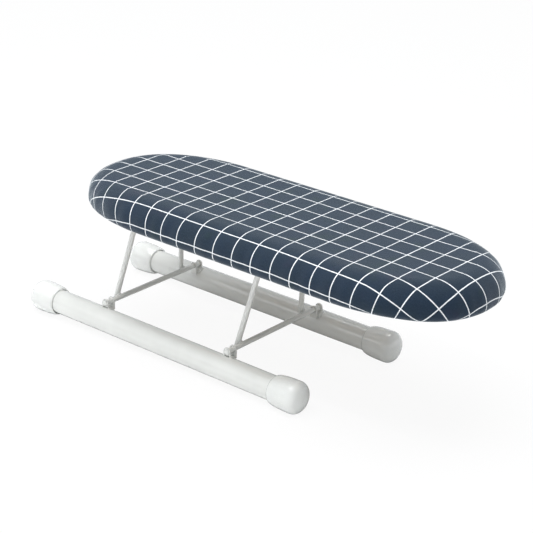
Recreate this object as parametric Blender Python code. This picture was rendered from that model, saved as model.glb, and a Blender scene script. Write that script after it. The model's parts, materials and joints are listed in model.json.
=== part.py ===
"""Tabletop folding sleeve ironing board.

A padded, fabric-covered board stands on two bent-wire legs. Each leg turns on a cross wire held by
brackets on two capped tubes that lie on the table. The legs and the board form a parallelogram, so
the board swings over and lies flat on the tubes.

Frame: metres, +Z up, +X along the board towards its free end, origin on the table under the middle
of the overall box. Sizes below are in millimetres and are scaled once, when a mesh is made.
"""

import math

import bmesh
import bpy
from mathutils import Matrix, Vector

MM = 0.001  # metres in a millimetre
GAP = 0.3  # clearance between neighbouring pieces, welded ones too
SHARP_ANGLE = math.radians(32)  # edges turning more than this stay sharp in shading

# Overall plan
OVERALL_LENGTH = 514.5  # left tube caps to the board's free end
BASE_LENGTH = 365.0  # over the caps of one tube
TUBE_SPACING = 147.0  # between the two tube axes

# Base tubes and their end caps
TUBE_RADIUS = 12.5
TUBE_WALL = 1.2
TUBE_SIDES = 32
CAP_LENGTH = 35.0
CAP_RADIUS = 16.4  # at its widest
CAP_MOUTH_RADIUS = 13.9
CAP_MOUTH_CHAMFER = 0.45
CAP_LIP = 0.6  # straight band at the mouth, before the cap swells
CAP_SWELL = (0.0, 0.08, 0.22, 0.45, 0.72, 1.0)  # shares of the way from the lip to the widest ring
CAP_BORE_DEPTH = 24.5
CAP_WIDEST_AT = 23.0  # from the mouth
CAP_CORNER = 8.5  # rounding of the outer end
CAP_DOME = 1.5  # how far the end face bulges
CAP_SIDES = 32
FOOT_FLAT = 0.3  # height of the flat cut on the underside of each cap
TUBE_AXIS_Z = CAP_RADIUS - FOOT_FLAT

# Wires
CROSS_WIRE_RADIUS = 2.7
CROSS_WIRE_HALF = 71.6  # half length without the swaged heads
SWAGE_RADIUS = 3.3
SWAGE_LENGTH = 1.3
SWAGE_CHAMFER = 0.4
LEG_WIRE_RADIUS = 2.75
WIRE_SIDES = 14
LEG_LEAN = math.radians(11.1)  # past upright, towards the free end
LEG_HALF_WIDTH_LOW = 47.8  # half distance between the uprights at the cross wire
LEG_HALF_WIDTH_TOP = 32.2  # and at the top bar
LEG_TAIL = 7.0  # upright left below the cross wire
LEG_BEND = 7.5  # inside corner radius of the wire's centre line
WELD_OFFSET = CROSS_WIRE_RADIUS + LEG_WIRE_RADIUS + 2 * GAP

# Lower pivots
LOW_PIVOT_Z = TUBE_AXIS_Z + 17.2
PIVOTS_LEFT_OF_BOARD_CENTRE = (178.4, 10.9)

# Pivot brackets, bent from strip and welded to the inner shoulder of each tube
BRACKET_SHEET = 1.5
BRACKET_WIDTH = 8.4  # along the tube
BRACKET_OUTER_EAR = 71.3  # distance of the outer ear's far face from the middle plane
BRACKET_INNER_EAR = 61.3  # distance of the inner ear's near face from the middle plane
BRACKET_TILT = math.radians(27.0)  # its floor is tangent to the tube at this angle from the top
BRACKET_EAR_ABOVE_PIVOT = 4.2
BRACKET_EAR_ROUND = 3.9

# Padded board. Heights in this group are above the cover's lowest face.
COVER_LENGTH = 474.0
COVER_WIDTH = 176.0
COVER_HEIGHT = 31.5
COVER_BOTTOM_Z = 129.6
COVER_SHEET = 1.2
OUTLINE_STRAIGHT = 117.0  # half length of the parallel middle part
OUTLINE_POWER = 2.14  # the ends are superellipses of this exponent
OUTLINE_QUARTER_STEPS = 10
TOP_ROUND_IN = 25.0
TOP_ROUND_DOWN = 21.2
LOW_ROUND_IN = 7.4
LOW_ROUND_UP = 8.3
TOP_ROUND_STEPS = 5
LOW_ROUND_STEPS = 3
LAYER_GAP = 0.4  # between the cover, the foam and the panel
PANEL_BOTTOM = COVER_SHEET + LAYER_GAP
PANEL_TOP = COVER_HEIGHT - TOP_ROUND_DOWN

# Drawn hem on the underside, with its cord and cord lock
HEM_INSET = 28.5  # from the outline to the cord's centre line
HEM_DROP = 0.8  # cord centre line below the cover's lowest face
HEM_OUTER_RADIUS = 2.0
HEM_INNER_RADIUS = 1.35
CORD_RADIUS = 1.0
CORD_SIDES = 6
CORD_TAIL_SPREAD = 2.0  # each tail's distance from the middle plane
CORD_TAIL_LENGTH = 38.0
CORD_TAIL_DROP = 5.2
CORD_BEND = 2.2
BUTTONHOLE_WIDTH = 9.0
LOCK_SIZE = (14.0, 12.0, 8.0)
LOCK_ROUND = 2.4
LOCK_SLOT = (7.2, 2.8)
LOCK_FROM_TAIL_END = 8.0

# Hinge straps, leg stops and their screws, under the panel
TOP_PIVOT_BELOW_PANEL = LEG_WIRE_RADIUS + GAP + 0.05
STRAP_SHEET = 1.2
STRAP_WIDTH = 12.0
STRAP_REACH = 16.5  # from the bar's axis to the end of each flange
STRAP_PLACE_Y = 19.5
STRAP_SCREW_X = 10.8
STOP_SHEET = 1.5
STOP_PLATE_LENGTH = 17.0
STOP_PLATE_HALF = 11.0
STOP_LIP_HALF = 41.0
STOP_LIP_START = 4.2  # along the legs, below the bar's axis
STOP_LIP_END = 13.0
STOP_SCREW_X = -13.0
STOP_SCREW_Y = 6.0
SCREW_SHANK_RADIUS = 1.5
SCREW_SHANK_LENGTH = 8.0
SCREW_HEAD_RADIUS = 3.2
SCREW_HEAD_HEIGHT = 2.2
SCREW_POINT = 1.5  # length of the taper at the tip
SCREW_SIDES = 12
SCREW_HOLE_RADIUS = SCREW_SHANK_RADIUS + GAP
PILOT_DEPTH = 7.2
DRILL_OVERSHOOT = 1.0  # cutters reach this far past the faces they cut

# Placing worked out from the sizes above
BASE_CENTRE_X = -OVERALL_LENGTH / 2 + BASE_LENGTH / 2
BOARD_CENTRE_X = OVERALL_LENGTH / 2 - COVER_LENGTH / 2
LEFT_PIVOT_X = BOARD_CENTRE_X - PIVOTS_LEFT_OF_BOARD_CENTRE[0]
RIGHT_PIVOT_X = BOARD_CENTRE_X - PIVOTS_LEFT_OF_BOARD_CENTRE[1]
PANEL_BOTTOM_Z = COVER_BOTTOM_Z + PANEL_BOTTOM
TOP_PIVOT_Z = PANEL_BOTTOM_Z - TOP_PIVOT_BELOW_PANEL
LEG_RISE = TOP_PIVOT_Z - LOW_PIVOT_Z
LEG_LENGTH = (LEG_RISE - WELD_OFFSET * math.sin(LEG_LEAN)) / math.cos(LEG_LEAN)
TOP_PIVOT_AHEAD = LEG_LENGTH * math.sin(LEG_LEAN) - WELD_OFFSET * math.cos(LEG_LEAN)


def clear_scene():
    for item in list(bpy.data.objects):
        bpy.data.objects.remove(item)


# Materials


def paint(name, colour, roughness, metallic=0.0):
    """A plain Principled material."""
    made = bpy.data.materials.new(name)
    made.use_nodes = True
    shader = made.node_tree.nodes["Principled BSDF"]
    shader.inputs["Base Color"].default_value = (*colour, 1.0)
    shader.inputs["Roughness"].default_value = roughness
    shader.inputs["Metallic"].default_value = metallic
    return made


# Mesh helpers


def ring_body(rings, closed=False):
    """A body skinned over rings of equal point counts; open runs of rings get end faces."""
    bm = bmesh.new()
    loops = [[bm.verts.new(point) for point in ring] for ring in rings]
    pairs = list(zip(loops, loops[1:]))
    if closed:
        pairs.append((loops[-1], loops[0]))
    for low, high in pairs:
        for i in range(len(low)):
            j = (i + 1) % len(low)
            bm.faces.new((low[i], low[j], high[j], high[i]))
    if not closed:
        bm.faces.new(loops[0])
        bm.faces.new(loops[-1])
    bmesh.ops.recalc_face_normals(bm, faces=bm.faces)
    return bm


def turned(profile, sides, closed=False):
    """A body turned about X from (x, radius) points."""
    turns = [2 * math.pi * i / sides for i in range(sides)]
    rings = [[(x, r * math.cos(a), r * math.sin(a)) for a in turns] for x, r in profile]
    return ring_body(rings, closed)


def arc(centre, radii, start, end, steps):
    """Points of an elliptical arc in a plane, angles in degrees."""
    angles = [math.radians(start + (end - start) * i / steps) for i in range(steps + 1)]
    return [(centre[0] + radii[0] * math.cos(a), centre[1] + radii[1] * math.sin(a)) for a in angles]


def extruded(section, width):
    """A prism along Y, centred on Y = 0, from an outline of (x, z) points."""
    sides = [[(x, y, z) for x, z in section] for y in (-width / 2, width / 2)]
    return ring_body(sides)


def box(size, centre=(0.0, 0.0, 0.0)):
    bm = bmesh.new()
    place = Matrix.Translation(centre) @ Matrix.Diagonal((*size, 1.0))
    bmesh.ops.create_cube(bm, size=1.0, matrix=place)
    return bm


def filleted(corners, radius, steps):
    """The path through the corners, each turn replaced by an arc of the given radius."""
    points = [Vector(p) for p in corners]
    path = [points[0]]
    for before, corner, after in zip(points, points[1:], points[2:]):
        arriving = (corner - before).normalized()
        leaving = (after - corner).normalized()
        turn = arriving.angle(leaving)
        centre_way = (leaving - arriving).normalized()
        centre = corner + centre_way * radius / math.cos(turn / 2)
        spoke = corner - arriving * radius * math.tan(turn / 2) - centre
        axis = arriving.cross(leaving)
        path += [centre + Matrix.Rotation(turn * i / steps, 3, axis) @ spoke for i in range(steps + 1)]
    path.append(points[-1])
    return path


def swept(path, radius, sides):
    """A round wire along a path, with flat ends."""
    side = Vector((0.0, 0.0, 1.0)).cross(path[1] - path[0])
    if side.length < 1e-6:
        side = Vector((0.0, 1.0, 0.0))
    rings = []
    last = None
    for i, point in enumerate(path):
        way = (path[min(i + 1, len(path) - 1)] - path[max(i - 1, 0)]).normalized()
        if last is not None:
            side = last.rotation_difference(way) @ side
        side = (side - way * side.dot(way)).normalized()
        other = way.cross(side)
        turns = [2 * math.pi * k / sides for k in range(sides)]
        rings.append([point + radius * (side * math.cos(a) + other * math.sin(a)) for a in turns])
        last = way
    return ring_body(rings)


def mesh_from(name, bm):
    """A mesh in metres from a bmesh in millimetres; frees the bmesh."""
    bm.transform(Matrix.Scale(MM, 4))
    mesh = bpy.data.meshes.new(name)
    bm.to_mesh(mesh)
    bm.free()
    mesh.shade_smooth()
    mesh.set_sharp_from_angle(angle=SHARP_ANGLE)
    return mesh


def place(name, mesh, material, location=(0.0, 0.0, 0.0), turn=None, parent=None):
    """One object for one piece; location in millimetres from its parent."""
    if not mesh.materials:
        mesh.materials.append(material)
    piece = bpy.data.objects.new(name, mesh)
    bpy.context.scene.collection.objects.link(piece)
    piece.parent = parent
    piece.matrix_local = Matrix.Translation(Vector(location) * MM) @ (turn or Matrix())
    return piece


def combine(piece, name, bm, operation="DIFFERENCE"):
    """Cuts or joins a piece with a hidden shape given in the piece's own axes."""
    tool = bpy.data.objects.new(name, mesh_from(name, bm))
    bpy.context.scene.collection.objects.link(tool)
    tool.parent = piece
    tool.hide_render = True
    tool.display_type = "WIRE"
    modifier = piece.modifiers.new(name, "BOOLEAN")
    modifier.operation = operation
    modifier.object = tool


def axis_empty(name, x, z):
    """An empty on a hinge line that runs along Y."""
    empty = bpy.data.objects.new(name, None)
    empty.location = (x * MM, 0.0, z * MM)
    bpy.context.scene.collection.objects.link(empty)
    return empty


# Base: tubes, caps and pivot brackets


def tube_mesh():
    half = BASE_LENGTH / 2 - CAP_LENGTH + CAP_BORE_DEPTH - GAP
    bore = TUBE_RADIUS - TUBE_WALL
    profile = [(-half, TUBE_RADIUS), (half, TUBE_RADIUS), (half, bore), (-half, bore)]
    return mesh_from("tube", turned(profile, TUBE_SIDES, closed=True))


def cap_profile():
    """Hollow push-on cap, its mouth at x = 0 and its closed end at x = CAP_LENGTH."""
    bore = TUBE_RADIUS + GAP
    middle = 0.5  # small flats close the bore and the dome on the axis
    profile = [
        (CAP_BORE_DEPTH, middle),
        (CAP_BORE_DEPTH, bore),
        (CAP_LIP, bore),
        (0.0, bore + CAP_MOUTH_CHAMFER),
        (0.0, CAP_MOUTH_RADIUS - CAP_MOUTH_CHAMFER),
    ]
    for share in CAP_SWELL:
        bulge = math.sqrt(1 - (1 - share) ** 2)
        x = CAP_LIP + share * (CAP_WIDEST_AT - CAP_LIP)
        profile.append((x, CAP_MOUTH_RADIUS + bulge * (CAP_RADIUS - CAP_MOUTH_RADIUS)))
    corner_centre = (CAP_LENGTH - CAP_DOME - CAP_CORNER, CAP_RADIUS - CAP_CORNER)
    profile += arc(corner_centre, (CAP_CORNER, CAP_CORNER), 72, 14, 4)
    profile.append((CAP_LENGTH - CAP_DOME * 0.45, CAP_RADIUS * 0.36))
    profile.append((CAP_LENGTH, 3 * middle))
    return profile


def cap_mesh():
    """A cap with a narrow flat on its underside, so that it rests without rolling."""
    bm = turned(cap_profile(), CAP_SIDES)
    everything = bm.verts[:] + bm.edges[:] + bm.faces[:]
    cut = bmesh.ops.bisect_plane(
        bm,
        geom=everything,
        plane_co=(0.0, 0.0, -TUBE_AXIS_Z),
        plane_no=(0.0, 0.0, -1.0),
        clear_outer=True,
    )
    rim = [item for item in cut["geom_cut"] if isinstance(item, bmesh.types.BMEdge)]
    bmesh.ops.contextual_create(bm, geom=rim)
    bmesh.ops.recalc_face_normals(bm, faces=bm.faces)
    return mesh_from("cap", bm)


def bracket_mesh():
    """A strip bent to two ears and a tilted floor; drawn in (y, z), its outer ear at +Y.

    Its own origin is on the pivot axis, at the middle plane of the whole base.
    """
    half = BRACKET_SHEET / 2
    tangent_y = TUBE_SPACING / 2 - (TUBE_RADIUS + GAP + half) * math.sin(BRACKET_TILT)
    tangent_z = TUBE_AXIS_Z - LOW_PIVOT_Z + (TUBE_RADIUS + GAP + half) * math.cos(BRACKET_TILT)
    slope = math.tan(BRACKET_TILT)
    top = BRACKET_EAR_ABOVE_PIVOT

    def floor_z(y, side):
        return tangent_z + (y - tangent_y) * slope + side * half / math.cos(BRACKET_TILT)

    inner, outer = BRACKET_INNER_EAR, BRACKET_OUTER_EAR
    inner_inside, outer_inside = inner + BRACKET_SHEET, outer - BRACKET_SHEET
    section = [
        (inner, top),
        (inner, floor_z(inner, -1)),
        (outer, floor_z(outer, -1)),
        (outer, top),
        (outer_inside, top),
        (outer_inside, floor_z(outer_inside, 1)),
        (inner_inside, floor_z(inner_inside, 1)),
        (inner_inside, top),
    ]
    ends = [[(x, y, z) for y, z in section] for x in (-BRACKET_WIDTH / 2, BRACKET_WIDTH / 2)]
    bm = ring_body(ends)
    shoulders = [
        edge
        for edge in bm.edges
        if all(abs(v.co.z - top) < 1e-6 for v in edge.verts)
        and abs(edge.verts[0].co.x - edge.verts[1].co.x) < 1e-6
    ]
    bmesh.ops.bevel(bm, geom=shoulders, offset=BRACKET_EAR_ROUND, segments=3, profile=0.5, affect="EDGES")
    return mesh_from("bracket", bm)


def bracket_drill():
    """A bar along the pivot axis, long enough to pass both ears."""
    radius = CROSS_WIRE_RADIUS + GAP
    start = BRACKET_INNER_EAR - BRACKET_WIDTH
    end = BRACKET_OUTER_EAR + BRACKET_WIDTH
    drill = turned([(start, radius), (end, radius)], WIRE_SIDES)
    drill.transform(Matrix.Rotation(math.radians(90), 4, "Z"))
    return drill


def build_base(coat, plastic):
    tube = tube_mesh()
    cap = cap_mesh()
    bracket = bracket_mesh()
    half = BASE_LENGTH / 2 - CAP_LENGTH
    for side, sign in (("front", -1), ("rear", 1)):
        y = sign * TUBE_SPACING / 2
        place(side + "_tube", tube, coat, (BASE_CENTRE_X, y, TUBE_AXIS_Z))
        turned_round = Matrix.Rotation(math.pi, 4, "Z")
        place(side + "_left_cap", cap, plastic, (BASE_CENTRE_X - half, y, TUBE_AXIS_Z), turned_round)
        place(side + "_right_cap", cap, plastic, (BASE_CENTRE_X + half, y, TUBE_AXIS_Z))
        facing = turned_round if side == "front" else None
        for end, x in (("left", LEFT_PIVOT_X), ("right", RIGHT_PIVOT_X)):
            name = f"{side}_{end}_bracket"
            piece = place(name, bracket, coat, (x, 0.0, LOW_PIVOT_Z), facing)
            combine(piece, name + "_drill", bracket_drill())


# Legs


def cross_wire_mesh():
    """A straight wire with a swaged head outside each outer ear."""
    half = CROSS_WIRE_HALF
    profile = [
        (-half - SWAGE_LENGTH, SWAGE_RADIUS - SWAGE_CHAMFER),
        (-half - SWAGE_LENGTH + SWAGE_CHAMFER, SWAGE_RADIUS),
        (-half, SWAGE_RADIUS),
        (-half, CROSS_WIRE_RADIUS),
        (half, CROSS_WIRE_RADIUS),
        (half, SWAGE_RADIUS),
        (half + SWAGE_LENGTH - SWAGE_CHAMFER, SWAGE_RADIUS),
        (half + SWAGE_LENGTH, SWAGE_RADIUS - SWAGE_CHAMFER),
    ]
    bm = turned(profile, WIRE_SIDES)
    bm.transform(Matrix.Rotation(math.radians(90), 4, "Z"))
    return mesh_from("cross_wire", bm)


def leg_mesh():
    """One bent wire: two uprights joined by the top bar; its origin is on the lower pivot."""
    up = Vector((math.sin(LEG_LEAN), 0.0, math.cos(LEG_LEAN)))
    back = Vector((-math.cos(LEG_LEAN), 0.0, math.sin(LEG_LEAN))) * WELD_OFFSET
    taper = (LEG_HALF_WIDTH_LOW - LEG_HALF_WIDTH_TOP) / LEG_LENGTH
    foot = LEG_HALF_WIDTH_LOW + taper * LEG_TAIL
    corners = [
        back - up * LEG_TAIL + Vector((0.0, -foot, 0.0)),
        back + up * LEG_LENGTH + Vector((0.0, -LEG_HALF_WIDTH_TOP, 0.0)),
        back + up * LEG_LENGTH + Vector((0.0, LEG_HALF_WIDTH_TOP, 0.0)),
        back - up * LEG_TAIL + Vector((0.0, foot, 0.0)),
    ]
    return mesh_from("leg", swept(filleted(corners, LEG_BEND, 6), LEG_WIRE_RADIUS, WIRE_SIDES))


def build_legs(coat):
    """Both legs, each on an empty that stands on its lower pivot."""
    wire = cross_wire_mesh()
    leg = leg_mesh()
    for end, x in (("left", LEFT_PIVOT_X), ("right", RIGHT_PIVOT_X)):
        axis = axis_empty(end + "_leg_axis", x, LOW_PIVOT_Z)
        place(end + "_cross_wire", wire, coat, parent=axis)
        place(end + "_leg_wire", leg, coat, parent=axis)


# Padded board


def outline(inset, z):
    """The board's plan outline moved inward by inset, as points at height z.

    Each end is two superellipse quarters. The way inward comes from the curve's own equation.
    """
    end_length = COVER_LENGTH / 2 - OUTLINE_STRAIGHT
    half_width = COVER_WIDTH / 2
    quarter = []
    for step in range(OUTLINE_QUARTER_STEPS + 1):
        angle = math.pi / 2 * step / OUTLINE_QUARTER_STEPS
        share_x = max(math.cos(angle), 0.0) ** (2 / OUTLINE_POWER)
        share_y = math.sin(angle) ** (2 / OUTLINE_POWER)
        if step == OUTLINE_QUARTER_STEPS:
            share_x = 0.0
        slope_x = share_x ** (OUTLINE_POWER - 1) / end_length
        slope_y = share_y ** (OUTLINE_POWER - 1) / half_width
        slope = math.hypot(slope_x, slope_y)
        x = OUTLINE_STRAIGHT + end_length * share_x - inset * slope_x / slope
        y = half_width * share_y - inset * slope_y / slope
        quarter.append((x, y))
    rear_right = [(x, y, z) for x, y in quarter]
    rear_left = [(-x, y, z) for x, y in reversed(quarter)]
    front_left = [(-x, -y, z) for x, y in quarter[1:]]
    front_right = [(x, -y, z) for x, y in reversed(quarter[1:])]
    return rear_right + rear_left + front_left + front_right


def edge_section(inward):
    """(inset, height) points up the cover's side, from its underside to its top, moved inward."""
    low = arc(
        (LOW_ROUND_IN, LOW_ROUND_UP),
        (LOW_ROUND_IN - inward, LOW_ROUND_UP - inward),
        270,
        180,
        LOW_ROUND_STEPS,
    )
    high = arc(
        (TOP_ROUND_IN, PANEL_TOP),
        (TOP_ROUND_IN - inward, TOP_ROUND_DOWN - inward),
        180,
        90,
        TOP_ROUND_STEPS,
    )
    return low + high


def cover_mesh():
    """Fabric shell, open underneath, whose hem rolls round the cord.

    The section runs from the flat top, down the inside, round the roll and up the outside.
    """
    inside = edge_section(COVER_SHEET)[::-1]
    outside = edge_section(0.0)
    centre = (HEM_INSET, -HEM_DROP)
    inner = arc(centre, (HEM_INNER_RADIUS, HEM_INNER_RADIUS), 150, 450, 6)
    outer = arc(centre, (HEM_OUTER_RADIUS, HEM_OUTER_RADIUS), 450, 158, 6)
    band_end = [(HEM_INSET - HEM_OUTER_RADIUS, COVER_SHEET)]
    section = inside + band_end + inner + outer + outside
    rings = [outline(inset, z) for inset, z in section]
    return mesh_from("cover", ring_body(rings))


def foam_mesh():
    inward = COVER_SHEET + LAYER_GAP
    low = PANEL_TOP + LAYER_GAP
    side = arc(
        (TOP_ROUND_IN, low),
        (TOP_ROUND_IN - inward, COVER_HEIGHT - inward - low),
        180,
        90,
        TOP_ROUND_STEPS,
    )
    return mesh_from("foam", ring_body([outline(inset, z) for inset, z in side]))


def panel_mesh():
    """Fibreboard panel with a rounded lower edge."""
    inward = COVER_SHEET + LAYER_GAP
    side = edge_section(inward)[: LOW_ROUND_STEPS + 1] + [(inward, PANEL_TOP)]
    return mesh_from("panel", ring_body([outline(inset, z) for inset, z in side]))


def cord_path():
    """The cord from one tail, round the hem, to the other tail."""
    loop = [Vector(p) for p in outline(HEM_INSET, -HEM_DROP)]
    tip = loop[0].x
    tails = []
    for sign in (1, -1):
        y = sign * CORD_TAIL_SPREAD
        end = Vector((tip - CORD_TAIL_LENGTH, y, -CORD_TAIL_DROP))
        dip = Vector((tip - CORD_TAIL_LENGTH / 3, y, -CORD_TAIL_DROP))
        mouth = Vector((tip - 2 * HEM_OUTER_RADIUS, y, -HEM_DROP))
        corner = Vector((tip, y, -HEM_DROP))
        tails.append([end, dip, mouth, corner])
    start = filleted(tails[0] + [loop[1]], CORD_BEND, 4)[:-1]
    finish = filleted(tails[1] + [loop[-1]], CORD_BEND, 4)[:-1]
    return start + loop[1:] + finish[::-1]


def lock_mesh():
    bm = box(LOCK_SIZE)
    bmesh.ops.bevel(bm, geom=bm.edges[:], offset=LOCK_ROUND, segments=2, profile=0.5, affect="EDGES")
    return mesh_from("cord_lock", bm)


def strap_section():
    """(x, z) outline of an omega strap round the top bar, from the bar's axis."""
    inner = LEG_WIRE_RADIUS + GAP
    outer = inner + STRAP_SHEET
    high = TOP_PIVOT_BELOW_PANEL - GAP
    low = high - STRAP_SHEET
    inside = arc((0.0, 0.0), (inner, inner), 180, 360, 8)
    outside = arc((0.0, 0.0), (outer, outer), 360, 180, 8)
    right_flange = [(inner, high), (STRAP_REACH, high), (STRAP_REACH, low), (outer, low)]
    left_flange = [(-outer, low), (-STRAP_REACH, low), (-STRAP_REACH, high), (-inner, high)]
    return inside + right_flange + outside + left_flange


def screw_mesh():
    """Pan-head screw along X: its head ends at x = 0 and its shank points to +X."""
    head = SCREW_HEAD_HEIGHT
    profile = [
        (0.0, SCREW_HEAD_RADIUS * 0.55),
        (head * 0.35, SCREW_HEAD_RADIUS * 0.92),
        (head * 0.75, SCREW_HEAD_RADIUS),
        (head, SCREW_HEAD_RADIUS),
        (head, SCREW_SHANK_RADIUS),
        (head + SCREW_SHANK_LENGTH - SCREW_POINT, SCREW_SHANK_RADIUS),
        (head + SCREW_SHANK_LENGTH, 0.4),
    ]
    bm = turned(profile, SCREW_SIDES)
    bm.transform(Matrix.Rotation(math.radians(-90), 4, "Y"))
    return mesh_from("screw", bm)


def stop_mesh():
    """The plate of a leg stop, under the panel; its lip is joined on afterwards."""
    high = TOP_PIVOT_BELOW_PANEL - GAP
    start = -(LEG_WIRE_RADIUS + GAP)
    centre = (start - STOP_PLATE_LENGTH / 2, 0.0, high - STOP_SHEET / 2)
    return mesh_from("leg_stop", box((STOP_PLATE_LENGTH, 2 * STOP_PLATE_HALF, STOP_SHEET), centre))


def stop_lip():
    """The T-shaped lip that both uprights lean on, parallel to the legs."""
    near = -(LEG_WIRE_RADIUS + GAP)
    far = near - STOP_SHEET
    plate_top = TOP_PIVOT_BELOW_PANEL - GAP
    stem_top = (plate_top + far * math.sin(LEG_LEAN)) / math.cos(LEG_LEAN)
    outline_yz = [
        (-STOP_PLATE_HALF, stem_top),
        (-STOP_PLATE_HALF, -STOP_LIP_START),
        (-STOP_LIP_HALF, -STOP_LIP_START),
        (-STOP_LIP_HALF, -STOP_LIP_END),
        (STOP_LIP_HALF, -STOP_LIP_END),
        (STOP_LIP_HALF, -STOP_LIP_START),
        (STOP_PLATE_HALF, -STOP_LIP_START),
        (STOP_PLATE_HALF, stem_top),
    ]
    faces = [[(x, y, z) for y, z in outline_yz] for x in (far, near)]
    bm = ring_body(faces)
    bm.transform(Matrix.Rotation(LEG_LEAN, 4, "Y"))
    return bm


def screw_places():
    """(name, x, y) of every screw, from the left top pivot in plan."""
    places = []
    for end, x in (("left", 0.0), ("right", RIGHT_PIVOT_X - LEFT_PIVOT_X)):
        for side, y in (("front", -STRAP_PLACE_Y), ("rear", STRAP_PLACE_Y)):
            places.append((f"{side}_{end}_strap_screw_a", x - STRAP_SCREW_X, y))
            places.append((f"{side}_{end}_strap_screw_b", x + STRAP_SCREW_X, y))
        places.append((f"{end}_stop_front_screw", x + STOP_SCREW_X, -STOP_SCREW_Y))
        places.append((f"{end}_stop_rear_screw", x + STOP_SCREW_X, STOP_SCREW_Y))
    return places


def hole_along_z(radius, low, high):
    bm = turned([(low, radius), (high, radius)], SCREW_SIDES)
    bm.transform(Matrix.Rotation(math.radians(-90), 4, "Y"))
    return bm


def joined(shapes):
    """One bmesh holding several separate shapes."""
    whole = bmesh.new()
    for shape in shapes:
        scratch = bpy.data.meshes.new("scratch")
        shape.to_mesh(scratch)
        shape.free()
        whole.from_mesh(scratch)
        bpy.data.meshes.remove(scratch)
    return whole


def drills(places, radius, low, high):
    """Upright drill shapes at plan places, as one bmesh."""
    shapes = []
    for x, y in places:
        shape = hole_along_z(radius, low, high)
        shape.transform(Matrix.Translation((x, y, 0.0)))
        shapes.append(shape)
    return joined(shapes)


def build_padding(axis, fabric, foam, fibreboard, cord_white, lock_black):
    """Cover, foam, panel, cord and lock, all measured from the board's own centre."""
    top_pivot_x = LEFT_PIVOT_X + TOP_PIVOT_AHEAD
    centre = (BOARD_CENTRE_X - top_pivot_x, 0.0, COVER_BOTTOM_Z - TOP_PIVOT_Z)
    cover = place("fabric_cover", cover_mesh(), fabric, centre, parent=axis)
    tip = COVER_LENGTH / 2 - HEM_INSET
    opening = box(
        (2 * HEM_OUTER_RADIUS, BUTTONHOLE_WIDTH, 2 * HEM_INNER_RADIUS),
        (tip - HEM_OUTER_RADIUS, 0.0, -HEM_DROP),
    )
    combine(cover, "buttonhole", opening)
    place("foam_pad", foam_mesh(), foam, centre, parent=axis)
    panel = place("board_panel", panel_mesh(), fibreboard, centre, parent=axis)
    pilots = [(x - centre[0], y) for _, x, y in screw_places()]
    low, high = PANEL_BOTTOM - DRILL_OVERSHOOT, PANEL_BOTTOM + PILOT_DEPTH
    combine(panel, "pilot_holes", drills(pilots, SCREW_HOLE_RADIUS, low, high))
    path = cord_path()
    cord = mesh_from("drawcord", swept(path, CORD_RADIUS, CORD_SIDES))
    place("drawcord", cord, cord_white, centre, parent=axis)
    lock_x = path[0].x + LOCK_FROM_TAIL_END + LOCK_SIZE[0] / 2
    lock_place = (centre[0] + lock_x, 0.0, centre[2] - CORD_TAIL_DROP)
    lock = place("cord_lock", lock_mesh(), lock_black, lock_place, parent=axis)
    combine(lock, "cord_slot", box((2 * LOCK_SIZE[0], *LOCK_SLOT)))


def build_hinges(axis, coat, zinc):
    """Straps that hold the top bars, and the stops that the open legs lean on."""
    strap = mesh_from("strap", extruded(strap_section(), STRAP_WIDTH))
    stop = stop_mesh()
    through = (-DRILL_OVERSHOOT, TOP_PIVOT_BELOW_PANEL + DRILL_OVERSHOOT)
    for end, x in (("left", 0.0), ("right", RIGHT_PIVOT_X - LEFT_PIVOT_X)):
        for side, y in (("front", -STRAP_PLACE_Y), ("rear", STRAP_PLACE_Y)):
            name = f"{side}_{end}_hinge_strap"
            piece = place(name, strap, zinc, (x, y, 0.0), parent=axis)
            holes = [(-STRAP_SCREW_X, 0.0), (STRAP_SCREW_X, 0.0)]
            combine(piece, name + "_holes", drills(holes, SCREW_HOLE_RADIUS, *through))
        name = end + "_leg_stop"
        piece = place(name, stop, coat, (x, 0.0, 0.0), parent=axis)
        combine(piece, name + "_lip", stop_lip(), "UNION")
        holes = [(STOP_SCREW_X, -STOP_SCREW_Y), (STOP_SCREW_X, STOP_SCREW_Y)]
        combine(piece, name + "_holes", drills(holes, SCREW_HOLE_RADIUS, *through))


def build_screws(axis, zinc):
    screw = screw_mesh()
    for name, x, y in screw_places():
        sheet = STOP_SHEET if "stop" in name else STRAP_SHEET
        z = TOP_PIVOT_BELOW_PANEL - GAP - sheet - GAP - SCREW_HEAD_HEIGHT
        place(name, screw, zinc, (x, y, z), parent=axis)


def build():
    clear_scene()
    coat = paint("white_powder_coat", (0.84, 0.85, 0.84), 0.35)
    plastic = paint("white_cap_plastic", (0.86, 0.87, 0.87), 0.25)
    fabric = paint("checked_fabric", (0.085, 0.115, 0.17), 0.9)
    foam = paint("foam", (0.85, 0.8, 0.62), 0.95)
    fibreboard = paint("fibreboard", (0.42, 0.3, 0.19), 0.8)
    cord_white = paint("white_cord", (0.8, 0.8, 0.78), 0.8)
    lock_black = paint("black_plastic", (0.03, 0.03, 0.03), 0.4)
    zinc = paint("zinc_plate", (0.62, 0.63, 0.64), 0.35, 1.0)
    build_base(coat, plastic)
    build_legs(coat)
    board_axis = axis_empty("board_axis", LEFT_PIVOT_X + TOP_PIVOT_AHEAD, TOP_PIVOT_Z)
    build_padding(board_axis, fabric, foam, fibreboard, cord_white, lock_black)
    build_hinges(board_axis, coat, zinc)
    build_screws(board_axis, zinc)


build()
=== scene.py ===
"""Looks of the tabletop folding sleeve ironing board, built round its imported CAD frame.

The cover is a cloth-simulated sheet with a drawn hem. Foam, cord, caps, tubes, wires and screws are
finer versions of their CAD solids. The other CAD parts keep their shape and get rounded edges, smooth
shading and a procedural material. Metres in the frame's axes; sizes below are in millimetres.
"""

import json
import math

import bmesh
import bpy
import numpy as np
from mathutils import Matrix, Quaternion, Vector, noise
from mathutils.bvhtree import BVHTree


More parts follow.
